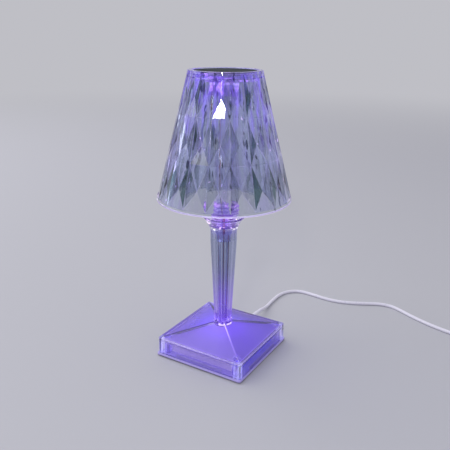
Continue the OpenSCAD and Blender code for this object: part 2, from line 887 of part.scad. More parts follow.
module control_board() {
    color(board_green)
        translate([-control_board_w / 2, board_rear - board_l, board_z])
            difference() {
                cube([control_board_w, board_l, board_t]);
                for (sx = [-1, 1])
                    translate([control_board_w / 2 + sx * board_screw_x,
                        board_screw_y - board_rear + board_l, -1])
                        cylinder(d = board_screw_d + 2 * seat_gap, h = board_t + 2, $fn = 32);
            }
}

module charge_chips() {
    color(black) {
        translate([-7, board_rear - 16, board_top])
            cube([6, 5, 1.6]);
        translate([1, board_rear - 22, board_top])
            cube([4, 4, 1.2]);
        translate([4, board_rear - 15, board_top])
            cube([4, 3, 2]);
    }
}

module board_screws() {
    color(steel)
        for (sx = [-1, 1])
            translate([sx * board_screw_x, board_screw_y, board_top])
                pan_screw(board_screw_d, 3.6, board_screw_head_t, board_top - plate_top - 1);
}

module charge_socket() {
    tongue_w = 6.4;
    tongue_t = 0.7;
    color(steel)
        translate([0, socket_face - socket_l, socket_z]) {
            difference() {
                round_bar(socket_w, socket_h, socket_l, 1.55);
                translate([0, socket_wall, 0])
                    round_bar(socket_w - 2 * socket_wall, socket_h - 2 * socket_wall, socket_l, 1.28);
            }
            translate([-tongue_w / 2, 0.1, -tongue_t / 2])
                cube([tongue_w, socket_l - 1.6, tongue_t]);
        }
}

module switch_body() {
    color(steel)
        difference() {
            translate([switch_x - switch_l / 2, switch_y - switch_w / 2, switch_bottom])
                cube([switch_l, switch_w, board_z - switch_bottom]);
            translate([switch_x - (knob_l + switch_travel) / 2 - slide_gap,
                switch_y - knob_w / 2 - slide_gap, switch_bottom - 1])
                cube([knob_l + switch_travel + 2 * slide_gap, knob_w + 2 * slide_gap,
                    knob_neck_h + slide_gap + 1]);
        }
}

// The knob rests at the left end of its slot and slides along +X
module switch_knob() {
    color(black)
        translate([switch_x - (knob_l + switch_travel) / 2, switch_y - knob_w / 2, knob_bottom])
            cube([knob_l, knob_w, switch_bottom + knob_neck_h - knob_bottom]);
}

// Charging lead

module plug_shell() {
    color(steel)
        translate([0, plug_face - plug_shell_l, socket_z])
            difference() {
                round_bar(plug_shell_w, plug_shell_h, plug_shell_l, 1.15);
                translate([0, -1, 0])
                    round_bar(plug_shell_w - 1.1, plug_shell_h - 1.1, plug_shell_l, 0.6);
            }
}

module plug_body() {
    color(white)
        translate([0, plug_face, socket_z])
            difference() {
                round_bar(plug_body_w, plug_body_h, plug_body_l, 2);
                for (sx = [-1, 1], k = [0:3])
                    translate([sx * plug_body_w / 2, 6 + 2 * k, 0])
                        cube([0.8, 0.8, 3.4], center = true);
            }
}

// A tapered strain relief along +Y with open rings
module relief(r1, r2, l) {
    ring_gap = l / 5;
    difference() {
        rotate([-90, 0, 0])
            cylinder(r1 = r1, r2 = r2, h = l, $fn = 32);
        for (k = [1:4], turn = [0, 90])
            rotate([0, turn * (k % 2) + 90 * (1 - k % 2), 0])
                for (side = [-1, 1])
                    translate([side * (r1 + 0.55), k * ring_gap, 0])
                        cube([2 * (r1 - lead_d / 2) + 0.2, 0.8, 2 * r1], center = true);
    }
}

module strain_relief() {
    color(white)
        translate([0, relief_y, socket_z])
            relief(2.6, 2.1, relief_l);
}

module lead_run() {
    color(white)
        swept_tube(lead_route, lead_d / 2, 8);
}

module lead_coil() {
    inner = coil_r - lead_d * (coil_low_turns - 0.5);
    outer = coil_r + lead_d / 2;
    color(white)
        translate([coil_x, coil_y, 0])
            rotate_extrude($fn = 96)
                polygon([
                    [inner, 0], [outer, 0], [outer, lead_d], [outer - lead_d / 2, coil_h],
                    [inner + lead_d / 2, coil_h], [inner, lead_d]
                ]);
}

module lead_tail() {
    color(white)
        swept_tube(tail_route, lead_d / 2, 8);
}

module far_relief() {
    color(white)
        translate([far_x, far_y, far_z])
            rotate([0, 0, 180])
                rotate([-90, 0, 0])
                    cylinder(r1 = 2.2, r2 = 3, h = far_relief_l, $fn = 32);
}

module far_plug_body() {
    color(white)
        translate([far_x, far_y - far_relief_l - far_body_l, far_z])
            difference() {
                round_bar(far_body_w, far_body_h, far_body_l, 2.2);
                for (sx = [-1, 1], k = [0:4])
                    translate([sx * far_body_w / 2, 5 + 2.6 * k, 0])
                        cube([0.8, 1, 4.4], center = true);
            }
}

module far_plug_shell() {
    wall = 0.35;
    color(steel)
        translate([far_x, far_y - far_relief_l - far_body_l - far_shell_l, far_z])
            difference() {
                round_bar(far_shell_w, far_shell_h, far_shell_l, 0.6);
                translate([-far_shell_w / 2 + wall, -1, -far_shell_h / 2 + wall])
                    cube([far_shell_w - 2 * wall, far_shell_l, far_shell_h / 2]);
                for (sx = [-1, 1])
                    translate([sx * 2.9 - 1, 5, far_shell_h / 2 - 0.2])
                        cube([2, 2.4, 1]);
            }
}

shade();
touch_plate();
head_tray();
light_board();
light_chip();
lens();
touch_spring();
touch_chip();
head_screws();
column();
ferrule();
cup();
stem();
hollow_screw();
washer();
foot_nut();
wire_loom();
base_cover();
base_liner();
base_plate();
base_screws();
rubber_feet();
counterweight();
battery();
control_board();
charge_chips();
board_screws();
charge_socket();
switch_body();
switch_knob();
plug_shell();
plug_body();
strain_relief();
lead_run();
lead_coil();
lead_tail();
far_relief();
far_plug_body();
far_plug_shell();
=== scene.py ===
import math
import random

import bmesh
import bpy
from mathutils import Matrix, Vector
from mathutils.geometry import interpolate_bezier


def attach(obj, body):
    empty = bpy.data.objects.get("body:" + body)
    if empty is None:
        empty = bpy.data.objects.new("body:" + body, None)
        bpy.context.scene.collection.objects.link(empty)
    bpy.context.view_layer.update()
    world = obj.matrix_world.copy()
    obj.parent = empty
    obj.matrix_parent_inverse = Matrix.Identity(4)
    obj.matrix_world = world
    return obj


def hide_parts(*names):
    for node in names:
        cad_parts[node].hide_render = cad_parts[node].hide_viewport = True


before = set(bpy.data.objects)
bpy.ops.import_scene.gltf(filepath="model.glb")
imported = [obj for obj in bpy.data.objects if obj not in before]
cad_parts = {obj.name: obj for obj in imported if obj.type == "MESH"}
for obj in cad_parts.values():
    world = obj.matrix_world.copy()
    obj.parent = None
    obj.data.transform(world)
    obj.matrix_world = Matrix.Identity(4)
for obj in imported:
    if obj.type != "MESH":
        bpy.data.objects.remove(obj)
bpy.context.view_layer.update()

MM = 0.001
TURN = 2 * math.pi

# Bodies that the pieces ride on
LAMP = "lamp"
SHADE = "lift_off_shade"
SWITCH = "switch"
LEAD = "charging_lead"


# ---------------------------------------------------------------- camera

CAMERA_AT = Vector((0.25304, -0.42037, 0.29380))
CAMERA_FORWARD = Vector((-0.485934, 0.811213, -0.325273))
CAMERA_UP = Vector((-0.176234, 0.273577, 0.945567))
CAMERA_LENS = 46.28
CAMERA_SENSOR = 36


def set_camera():
    data = bpy.data.cameras.new("camera")
    data.sensor_width = CAMERA_SENSOR
    data.lens = CAMERA_LENS
    camera = bpy.data.objects.new("camera", data)
    bpy.context.scene.collection.objects.link(camera)
    right = CAMERA_FORWARD.cross(CAMERA_UP).normalized()
    up = right.cross(CAMERA_FORWARD).normalized()
    turned = Matrix((right, up, -CAMERA_FORWARD.normalized())).transposed()
    camera.matrix_world = Matrix.LocRotScale(CAMERA_AT, turned.to_quaternion(), None)
    bpy.context.scene.camera = camera


# ---------------------------------------------------------------- charging lead, millimetres

LEAD_D = 3.5
# From the charging plug to the coil
LEAD_RUN = (
    (0, 71.3, 6.2), (0, 76, 6.2), (0, 82, 5.4), (-0.5, 89, 3.8), (-1.5, 97, 2.4),
    (-2.5, 105, 1.8), (-3, 113, 1.75), (-3.2, 121, 1.75), (-2.8, 129, 1.75),
    (-1, 137, 1.75), (2.8, 144, 1.75), (9, 149.4, 1.75), (16.5, 151.8, 1.75),
    (24.5, 151.8, 1.75), (33, 150.8, 1.75), (42, 149.8, 1.75), (51, 149.6, 1.75),
    (60, 150.6, 1.75), (69, 153, 1.75), (78, 156.6, 1.75), (87, 161.2, 1.75),
    (95, 165.6, 1.75), (102.5, 169, 1.75), (110, 170.4, 1.75), (117.5, 169.6, 1.75),
    (125.5, 166.4, 1.75), (134, 162, 1.75), (143, 157.6, 1.75), (152, 153.6, 1.75),
    (161, 150.2, 1.75), (171, 147.2, 1.75), (181, 144.7, 1.75), (192, 141.8, 1.75),
    (203, 138.9, 1.75), (214, 135.9, 1.75), (225, 132.9, 1.75),
)
# From the coil to the far plug
LEAD_TAIL = ((251, 100, 4.6), (251, 93, 4.3), (251, 86, 4), (251, 78, 4))
COIL_AT = (228.7, 107)
COIL_START = 74.5
# Angle wound so far, radius and height: three turns on the table, then two on top of them
COIL_STATIONS = (
    (0, 24, 1.75), (290, 24, 1.75), (360, 20.5, 1.75), (650, 20.5, 1.75), (720, 17, 1.75),
    (920, 17, 1.75), (1000, 18.75, 5.1), (1080, 18.75, 5.1), (1120, 18.75, 4.78),
    (1190, 18.75, 4.78), (1230, 20.5, 5.3), (1270, 22.25, 4.78), (1400, 22.25, 4.78),
    (1514.5, 22.25, 4.78),
)
COIL_STEP = 20


def coil_point(wound):
    """A point of the coil after a number of degrees, eased from one station to the next."""
    for (a0, r0, z0), (a1, r1, z1) in zip(COIL_STATIONS, COIL_STATIONS[1:]):
        if wound <= a1:
            break
    share = (wound - a0) / (a1 - a0)
    share = share * share * (3 - 2 * share)
    r, z = r0 + (r1 - r0) * share, z0 + (z1 - z0) * share
    turn = math.radians(COIL_START - wound)
    return (COIL_AT[0] + r * math.cos(turn), COIL_AT[1] + r * math.sin(turn), z)


def lead_points():
    wound_in_all = COIL_STATIONS[-1][0]
    steps = round(wound_in_all / COIL_STEP)
    coil = [coil_point(wound_in_all * k / steps) for k in range(steps + 1)]
    return [Vector(p) * MM for p in (*LEAD_RUN, *coil, *LEAD_TAIL)]


def round_tube(name, points, thickness, sides=16, along=7):
    """A round tube through the points, with closed ends, and the line that it follows."""
    data = bpy.data.curves.new(name + "_line", "CURVE")
    data.dimensions = "3D"
    data.bevel_depth = thickness * MM / 2
    data.bevel_resolution = sides // 2 - 2
    data.use_fill_caps = True
    data.resolution_u = along
    spline = data.splines.new("BEZIER")
    spline.bezier_points.add(len(points) - 1)
    for knot, point in zip(spline.bezier_points, points):
        knot.co = point
        knot.handle_left_type = knot.handle_right_type = "AUTO"
    curve = bpy.data.objects.new(name + "_line", data)
    bpy.context.scene.collection.objects.link(curve)
    bpy.context.view_layer.update()
    evaluated = curve.evaluated_get(bpy.context.evaluated_depsgraph_get())
    made = bpy.data.objects.new(name, bpy.data.meshes.new_from_object(evaluated))
    bpy.context.scene.collection.objects.link(made)
    made.data.shade_smooth()
    line = [points[0]]
    for a, b in zip(spline.bezier_points, spline.bezier_points[1:]):
        line += interpolate_bezier(a.co, a.handle_right, b.handle_left, b.co, along + 1)[1:]
    bpy.data.objects.remove(curve)
    return made, line


set_camera()
lead, lead_line = round_tube("lead", lead_points(), LEAD_D)
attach(lead, LEAD)
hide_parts("lead_run", "lead_coil", "lead_tail")


# ---------------------------------------------------------------- sizes of the lamp, millimetres

LAMP_H = 260

SHADE_Z = 150.5
SHADE_SLOPE = 0.25525
SHADE_TOP_R = 31.4
SHADE_WALL = 3.4
# Ring that the shade hangs by
HANG_Z = 254
HANG_R = 27.03
# Tiers of facets one over another, whose lozenges are widest at a share of the way up
FACET_LOW = 153.9
FACET_TOP = 258
TIERS = 3
TIER_H = 35.9
WAIST = 0.42
COLUMNS = 18
FACET_TURN = 6.7
# The facets' corners lie a step under the plain bands, and deeper at the waist
FACET_STEP = 0.2
FACET_DEPTH = 1.7

TOUCH_PLATE_Z = 258.2
TOUCH_PLATE_TOP = 259.4
TOUCH_PLATE_R = 26.73
LENS_FLANGE_R = 5.6
LENS_WELL_R = 3.7
LENS_DOME_R = 4.8
LENS_Z = 252.8
LENS_ROOF_Z = 252.5
LENS_TOP = 254

COLUMN_Z = 138.08
COLUMN_TOP = 252
COLUMN_R = 9.5
COLUMN_BORE_R = 7.5

FERRULE_Z = 112.08
FERRULE_TOP = 150.08
FERRULE_R = 10.5
FERRULE_BORE_R = 9.6
TENON_R = 7.4
WIRE_BORE_R = 3.5
# Ribs are arcs about points on a ring
RIBS_Z = 125.58
RIBS = 6
RIB_PITCH = 3.5
RIB_R = 0.9
RIB_AT_R = 10.3
RIB_HALF = math.radians(78)

STEM_Z = 28.08
STEM_FOOT_R = 9
SHAFT_Z = 31.08
SHAFT_LOW_R = 8
SHAFT_HIGH_R = 12.2
HEAD_Z = 111.08
STEM_TOP = 123.08
TENON_BORE_Z = 111.98
TENON_BORE_R = 7.5
SCREW_BORE_TOP = 48.18
SCREW_BORE_R = 3.1
# Flutes deepen upwards, and run out in the round of their cutter
FLUTES = 12
FLUTE_HALF = math.radians(10.5)
FLUTE_AT_FOOT = 0.59
FLUTE_AT_HEAD = 0.9
FLUTE_END_Z = 118.68
FLUTE_END_R = 3.19

# Base cover: its hipped roof, and its corner bosses' distance from the middle both ways
APEX_Z = 30.6
EAVES_Z = 18.3
ROOF_SLOPE = 0.2795
BOSS_AT = 36.8


def shade_r(z):
    """The shade's outer radius at a height."""
    return SHADE_TOP_R + SHADE_SLOPE * (LAMP_H - z)


# ---------------------------------------------------------------- shader maths


class Term:
    """A shader socket that takes part in arithmetic."""

    def __init__(self, finish, socket):
        self.finish, self.socket = finish, socket

    def _math(self, operation, a, b=0.0):
        return self.finish.node("ShaderNodeMath", {"operation": operation}, {0: a, 1: b})

    def __add__(self, other):
        return self._math("ADD", self, other)

    def __radd__(self, other):
        return self._math("ADD", other, self)

    def __sub__(self, other):
        return self._math("SUBTRACT", self, other)

    def __rsub__(self, other):
        return self._math("SUBTRACT", other, self)

    def __mul__(self, other):
        return self._math("MULTIPLY", self, other)

    def __rmul__(self, other):
        return self._math("MULTIPLY", other, self)

    def __abs__(self):
        return self._math("ABSOLUTE", self)

    def sine(self):
        return self._math("SINE", self)

    def cosine(self):
        return self._math("COSINE", self)

    def root(self):
        return self._math("SQRT", self)

    def most(self, other):
        return self._math("MAXIMUM", self, other)


def reach(a, b):
    """Length of the line that goes a one way and b across it."""
    return (a * a + b * b).root()


EVEN = (1, 1, 1)


def drawn_down(share):
    """The stretch of a pattern that runs down the lamp."""
    return (1, 1, share)


class Finish:
    """A material, or the world, whose nodes all come from one method.

    x, y and z are a place on the lamp in millimetres.
    """

    def __init__(self, name, kind=bpy.data.materials, place="Object"):
        self.material = kind.new(name)
        self.material.use_nodes = True
        self.tree = self.material.node_tree
        self.tree.nodes.clear()
        self.place = self.node("ShaderNodeTexCoord", output=place)
        self.x, self.y, self.z = (
            self.node("ShaderNodeSeparateXYZ", {}, {0: self.place}, axis) * (1 / MM)
            for axis in "XYZ"
        )

    def node(self, kind, settings=(), inputs=(), output=0):
        made = self.tree.nodes.new(kind)
        for key, value in dict(settings).items():
            setattr(made, key, value)
        for key, value in dict(inputs).items():
            if isinstance(value, Term):
                self.tree.links.new(value.socket, made.inputs[key])
            else:
                made.inputs[key].default_value = value
        return Term(self, made.outputs[output]) if made.outputs else None

    def step(self, value, low, high, to_low=0.0, to_high=1.0):
        """A smooth step from to_low at low to to_high at high."""
        inputs = {
            "Value": value, "From Min": low, "From Max": high, "To Min": to_low, "To Max": to_high,
        }
        return self.node("ShaderNodeMapRange", {"interpolation_type": "SMOOTHSTEP"}, inputs)

    def fade(self, value, low, high):
        """One up to low, falling smoothly to nought at high."""
        return self.step(value, low, high, 1.0, 0.0)

    def band(self, value, low, high, soft):
        """One between low and high, falling to nought over soft on both sides."""
        return self.step(value, low - soft, low) * self.fade(value, high, high + soft)

    def noise(self, scale, detail=3.0, stretch=EVEN):
        """Noise with about scale patches to a metre."""
        where = self.node("ShaderNodeMapping", {}, {"Vector": self.place, "Scale": stretch})
        inputs = {"Vector": where, "Scale": scale, "Detail": detail}
        return self.node("ShaderNodeTexNoise", {}, inputs, "Fac")

    def patches(self, scale, low, high, detail=3.0, stretch=EVEN):
        """Noise made into patches: nought where it is under low, one where it is over high."""
        return self.step(self.noise(scale, detail, stretch), low, high)

    def radius(self):
        """Distance from the lamp's axis."""
        return reach(self.x, self.y)

    def square_out(self):
        """Distance from the lamp's axis towards the nearer side of the square base."""
        return abs(self.x).most(abs(self.y))

    def turn(self):
        """Angle about the lamp's axis."""
        return self.node("ShaderNodeMath", {"operation": "ARCTAN2"}, {0: self.y, 1: self.x})

    def mix(self, share, a, b):
        inputs = {"Factor": share, 6: a, 7: b}
        return self.node("ShaderNodeMix", {"data_type": "RGBA"}, inputs, 2)

    def layers(self, colour, *over):
        """A colour with others laid over it in turn, each as far as its mask says."""
        for mask, laid in over:
            colour = self.mix(mask, colour, laid)
        return colour

    def bump(self, height, depth, strength=1.0):
        """Relief of a depth in millimetres."""
        inputs = {"Height": height, "Distance": depth * MM, "Strength": strength}
        return self.node("ShaderNodeBump", {}, inputs, "Normal")

    def principled(self, **values):
        """A Principled shader: its socket names in lower case with underscores."""
        inputs = {
            key.replace("_", " ").title().replace("Ior", "IOR"): value
            for key, value in values.items()
        }
        return self.node("ShaderNodeBsdfPrincipled", {}, inputs)

    def attribute(self, name):
        return self.node("ShaderNodeAttribute", {"attribute_name": name}, output="Fac")

    def done(self, shader, output="ShaderNodeOutputMaterial"):
        self.node(output, {}, {"Surface": shader})
        return self.material


# ---------------------------------------------------------------- clear plastic

BLACK = (0, 0, 0, 1)
ACRYLIC_IOR = 1.49

# Tones of the shade's facets: the lozenges' two halves, the triangles between them, and every edge
HALF_BEFORE, HALF_AFTER, TRIANGLE_UP, TRIANGLE_DOWN, FACET_EDGE = 0.30, 0.42, 0.20, 0.16, -0.2
# Tones of facets painted dark, as shade where they refract dark, and painted lit, as highlights
PAINTED_DARK_TONE, PAINTED_LIT_TONE = 1.0, 0.04
# Way that the shade's rim shines most
FRONT_X, FRONT_Y = 0.515, -0.857


def darker(colour, share):
    return tuple(part * share for part in colour[:3]) + (1,)


def clear_finish(name, tint, glow=None, tone=None, frost=None, waves=0.12, wavy=None):
    """Clear moulded plastic with polishing marks and the faint waves of its moulding.

    glow gives the light that it carries, painted on, tone its tint with any painted light and
    shade, frost how rough it is beyond the marks, waves how deep its waves are, in millimetres, and
    wavy how strongly they show.
    """
    finish = Finish(name)
    rough = finish.step(finish.noise(900, 4.0), 0.45, 0.8, 0.0, 0.04)
    ripples = finish.noise(90, 3.0, drawn_down(0.16))
    values = {
        "base_color": tone(finish) if tone else tint,
        "roughness": rough + frost(finish) if frost else rough,
        "ior": ACRYLIC_IOR,
        "transmission_weight": 1.0,
        "normal": finish.bump(ripples, waves, wavy(finish) if wavy else 1.0),
    }
    if glow:
        values["emission_color"] = glow(finish)
        values["emission_strength"] = 1.0
    body = finish.principled(**values)
    lit = finish.node("ShaderNodeBsdfTransparent", {}, {"Color": tint})
    lamp_ray = finish.node("ShaderNodeLightPath", output="Is Shadow Ray")
    return finish.done(finish.node("ShaderNodeMixShader", {}, {0: lamp_ray, 1: body, 2: lit}))


def painted_dark_slivers(finish):
    """Thin dark streaks that run down the facets: painted shade where they refract dark."""
    return finish.patches(210, 0.665, 0.70, 2.0, drawn_down(0.09))


def painted_lit_triangles(finish):
    """One on the triangles of the painted lit tone, as painted highlights, and less low on the
    shade.
    """
    light = finish.band(finish.attribute("facet_tone"), 0.02, 0.06, 0.02)
    return light * finish.step(finish.z, 170, 200, 0.35, 1.0)


def shade_tone(finish):
    """Silver and lavender streaks, the lavender painted violet light, with fine streaks of painted
    refraction;
    painted shade on lozenge halves and low down; triangles painted lit as highlights; and lozenges
    from silver to dark teal, the dark as painted shade.
    """
    silver, lavender = (0.49, 0.56, 0.69, 1), (0.45, 0.41, 0.79, 1)
    tone = finish.attribute("facet_tone")
    fine = finish.patches(420, 0.38, 0.62, 3.0, drawn_down(0.07))
    broad = finish.patches(130, 0.40, 0.62, 2.0, drawn_down(0.10))
    # Painted shade on the lozenge halves, the more the higher their tone
    painted_shade_half = finish.step(tone, 0.28, 0.46, 0.0, 0.55)
    # Painted shade, darker low on the shade
    low = finish.step(finish.z, 165, 185, 0.30, 0.0)
    plain_wall = finish.band(tone, -0.005, 0.005, 0.005)
    uneven = (broad - 0.5) * 0.25 + (fine - 0.5) * 0.25
    painted_dark_lozenge = finish.step(tone + uneven, 0.35, 0.95)
    return finish.layers(
        # The lavender streaks are painted violet light
        finish.mix(broad, silver, lavender),
        # Fine slate streaks are painted refractions
        (fine * 0.4, (0.32, 0.36, 0.50, 1)),
        (painted_shade_half, (0.25, 0.28, 0.44, 1)),
        (low, (0.20, 0.24, 0.36, 1)),
        (painted_lit_triangles(finish), (0.74, 0.77, 0.80, 1)),
        (plain_wall, (0.70, 0.74, 0.82, 1)),
        (painted_dark_slivers(finish), (0.02, 0.03, 0.07, 1)),
        (painted_dark_lozenge, (0.02, 0.06, 0.08, 1)),
    )


def shade_waves(finish):
    """The upright triangles came out of the mould flatter than the rest."""
    return 1.0 - 0.97 * finish.band(finish.attribute("facet_tone"), 0.12, 0.26, 0.01)


def shade_glow(finish):
    """Painted light: violet light from the head runs down in streaks, and the rim edge shines; the
    facets carry a painted silver sheen, the lit triangles painted highlights, their edges, fine
    lines and sparks painted glints, and the crown a grey and violet glow.
    """
    tone = finish.attribute("facet_tone")
    # Painted silver sheen on the facets, broken by the dark slivers
    silver = finish.band(tone, 0.10, 0.20, 0.09) * (1 - painted_dark_slivers(finish))
    violet = finish.step(finish.z, 170, FACET_TOP) * finish.fade(tone, 0.45, 0.75)
    violet = violet * finish.patches(150, 0.52, 0.64, 3.0, drawn_down(0.10))
    # Painted glints along the facet edges
    edge = finish.fade(tone, -0.10, -0.05) * finish.patches(55, 0.42, 0.62, 2.0)
    hairline_glints = finish.patches(520, 0.66, 0.74, 2.0, drawn_down(0.05)) * finish.fade(tone, 0.4, 0.5)
    # Painted sparkles
    sparks = finish.patches(150, 0.755, 0.80, 1.0)
    front = finish.step(finish.x * FRONT_X + finish.y * FRONT_Y, -30, 20, 0.1, 1.0)
    rim = finish.fade(finish.z, SHADE_Z + 0.2, SHADE_Z + 0.8) * front
    crown = finish.step(finish.z, FACET_TOP - 1.4, FACET_TOP - 0.4)
    crown_grey, crown_violet = (0.030, 0.026, 0.050, 1), (0.014, 0.003, 0.10, 1)
    return finish.layers(
        BLACK,
        (silver, (0.046, 0.048, 0.090, 1)),
        (painted_lit_triangles(finish), (0.075, 0.073, 0.068, 1)),
        (violet, (0.06, 0.02, 0.27, 1)),
        (edge, (0.13, 0.11, 0.22, 1)),
        (hairline_glints, (0.11, 0.10, 0.12, 1)),
        (sparks, (0.60, 0.40, 0.85, 1)),
        (rim, (0.47, 0.38, 0.62, 1)),
        (crown, finish.mix(finish.patches(60, 0.42, 0.58, 2.0), crown_grey, crown_violet)),
    )


def ferrule_glow(finish):
    """Painted violet light: streaks on the ribs, patches of light at the top, and a dark tenon."""
    streaks = finish.patches(240, 0.4, 0.7, 2.0, drawn_down(0.5))
    ribs = finish.mix(streaks, (0.03, 0.010, 0.08, 1), (0.10, 0.04, 0.20, 1))
    top = finish.band(finish.z, FERRULE_TOP - 2.58, FERRULE_TOP - 0.08, 0.8)
    top = top * finish.patches(120, 0.45, 0.6)
    return finish.layers(
        (0.006, 0.003, 0.012, 1),
        (finish.step(finish.z, RIBS_Z - 0.38, RIBS_Z + 0.22), ribs),
        (top, (0.24, 0.09, 0.30, 1)),
    )


def ferrule_tone(finish):
    """Painted shade, darker in the grooves between the ribs."""
    groove = ((finish.z - RIBS_Z) * (TURN / RIB_PITCH)).cosine()
    # Painted shade in the grooves
    dark = finish.step(groove, 0.2, 0.9) * finish.step(finish.z, RIBS_Z - 1.08, RIBS_Z - 0.08)
    return finish.mix(dark, (0.84, 0.84, 0.93, 1), (0.42, 0.32, 0.70, 1))


def cup_glow(finish):
    """Painted light: a violet haze, and bright dots round the cup's floor as painted glints."""
    cloud = finish.patches(420, 0.4, 0.6, 2.0)
    floor = finish.band(finish.z, STEM_TOP + 1.42, STEM_TOP + 6.92, 1.0)
    floor = floor * finish.step(finish.radius(), 10.5, 12.5)
    dots = finish.patches(260, 0.60, 0.66, 1.0) * floor
    return finish.layers(
        (0.004, 0.002, 0.014, 1),
        (cloud, (0.016, 0.005, 0.060, 1)),
        (dots, (0.7, 0.5, 0.85, 1)),
    )


def stem_tone(finish):
    """Silver green at the head, violet painted light towards the foot, and painted shade in the
    flutes.
    """
    across = (finish.turn() * FLUTES + math.pi).cosine() * 0.5 + 0.5
    # Painted shade in the flutes, and painted light on the lands between them
    land = finish.step(across, 0.25, 0.9) * finish.step(finish.radius(), 6.8, 7.4)
    upper = finish.mix(land, (0.40, 0.45, 0.65, 1), (0.55, 0.58, 0.81, 1))
    lower = finish.mix(land, (0.47, 0.37, 0.86, 1), (0.59, 0.48, 0.94, 1))
    return finish.mix(finish.fade(finish.z, 28, 100), upper, lower)


def stem_glow(finish):
    """Light rises from the foot, whose ring has bright dots in it."""
    ring = finish.fade(finish.z, SHAFT_Z - 1.08, SHAFT_Z + 0.12)
    dots = finish.patches(230, 0.54, 0.60, 1.0) * ring * finish.step(finish.radius(), 7.5, 8.5)
    return finish.layers(
        BLACK,
        (finish.fade(finish.z, 30, 90), (0.026, 0.009, 0.10, 1)),
        (finish.step(finish.z, HEAD_Z + 0.92, STEM_TOP - 1.08), (0.018, 0.008, 0.050, 1)),
        (finish.fade(finish.z, STEM_Z + 0.42, SHAFT_Z + 0.42), (0.05, 0.03, 0.14, 1)),
        (dots, (0.65, 0.55, 0.72, 1)),
    )


def below_roof(finish):
    """How far a place lies below the hipped roof's outer face."""
    return APEX_Z - finish.square_out() * ROOF_SLOPE - finish.z


def on_back(finish):
    """One on the back and the left, nought on the front and the right."""
    return finish.step(finish.y - finish.x, 0, 1)


def hips(finish, low, high):
    """One on the cover's four hips, within low of their middle, falling to nought at high."""
    off = abs(abs(finish.x) - abs(finish.y))
    return finish.fade(off, low, high) * finish.step(finish.z, EAVES_Z + 0.1, EAVES_Z + 1.1)


def front_corner(finish):
    """One in the quarter of the lamp that faces front and right."""
    return finish.step(finish.x, 0, 4) * finish.fade(finish.y, -4, 0)


def cover_tone(finish):
    """Painted light and shade: bluer on the back, and three hips painted dark as shade."""
    back = on_back(finish) * finish.step(finish.z, EAVES_Z - 0.1, EAVES_Z + 0.7)
    return finish.layers(
        (0.74, 0.68, 0.93, 1),
        (back, (0.54, 0.38, 0.98, 1)),
        (hips(finish, 1.2, 1.9) * (1 - front_corner(finish)), (0.05, 0.03, 0.14, 1)),
    )


def cover_glow(finish):
    """The front hip leads light down from the stem's foot; bosses, ledge and corners catch it."""
    roof = finish.fade(finish.radius(), 9, 34) * finish.step(finish.z, EAVES_Z - 0.1, EAVES_Z + 1.7)
    from_boss = reach(abs(finish.x) - BOSS_AT, abs(finish.y) - BOSS_AT)
    ledge = finish.step(finish.z, EAVES_Z - 1.5, EAVES_Z - 0.7)
    ledge = ledge * finish.step(finish.square_out(), 40.8, 41.6)
    corner = finish.step(abs(finish.x) + abs(finish.y), 79.0, 80.0)
    corner = corner * finish.patches(330, 0.46, 0.60, 2.0, drawn_down(0.12))
    away = finish.step(finish.radius(), 10, 35)
    shine = finish.mix(away, (0.70, 0.60, 0.74, 1), (0.24, 0.19, 0.36, 1))
    return finish.layers(
        BLACK,
        (roof, (0.02, 0.008, 0.08, 1)),
        (finish.fade(from_boss, 3.4, 3.8), (0.03, 0.022, 0.09, 1)),
        (ledge, (0.06, 0.045, 0.11, 1)),
        (corner, (0.15, 0.16, 0.23, 1)),
        (hips(finish, 0.1, 0.5) * front_corner(finish), shine),
    )


def cover_frost(finish):
    """The cover's roof is frosted on its underside."""
    underside = finish.step(below_roof(finish), 1.4, 2.0, 0.0, 0.5)
    return underside * finish.step(finish.z, EAVES_Z - 3.5, EAVES_Z - 2.7)


def tray_glow(finish):
    """Brightest round the light chip and on the socket's lower edge."""
    radius = finish.radius()
    swirls = finish.patches(110, 0.56, 0.62, 2.0) * finish.band(radius, 10, 22, 3)
    edge = finish.band(finish.z, 249.0, 250.2, 0.4) * finish.step(radius, 12.6, 12.9)
    flare = finish.mix(
        finish.patches(75, 0.50, 0.58, 1.0), (0.34, 0.22, 0.58, 1), (0.95, 0.66, 1.0, 1)
    )
    return finish.layers(
        (0.012, 0.004, 0.07, 1),
        (finish.fade(radius, 6, 26), (0.022, 0.008, 0.08, 1)),
        (swirls, (0.45, 0.22, 0.72, 1)),
        (edge, flare),
    )


def tray_frost(finish):
    """The head tray is satin all over."""
    return 0.12


# ---------------------------------------------------------------- milky plastic in the base


def glowing_finish(name, base, glow, roughness):
    """Milky moulded plastic with light inside it."""
    finish = Finish(name)
    cloud = finish.step(finish.noise(35), 0.3, 0.7, 0.0, 0.08)
    return finish.done(finish.principled(
        base_color=finish.mix(cloud, base(finish), BLACK),
        roughness=finish.step(finish.noise(700), 0.3, 0.7, roughness - 0.06, roughness + 0.06),
        emission_color=glow(finish),
        emission_strength=1.0,
        normal=finish.bump(finish.noise(900, 2.0), 0.02, 0.4),
    ))


def liner_wall(finish):
    """One on the liner's upright walls, nought on its roof."""
    return finish.step(below_roof(finish), 3.4, 4.0)


def liner_right(finish):
    """One on the liner's right wall."""
    return finish.step(finish.x, 33.2, 33.6)


def liner_base(finish):
    """Painted violet light under the roof, greyer down the sides, and painted shade, bluer, on the
    back and the right.
    """
    right_pane = finish.step(finish.x - abs(finish.y), 0, 0.5)
    wall = finish.mix(liner_right(finish), (0.60, 0.54, 0.60, 1), (0.16, 0.10, 0.60, 1))
    return finish.layers(
        (0.19, 0.11, 0.50, 1),
        (on_back(finish), (0.12, 0.05, 0.60, 1)),
        (right_pane, (0.26, 0.15, 0.76, 1)),
        (liner_wall(finish), wall),
    )


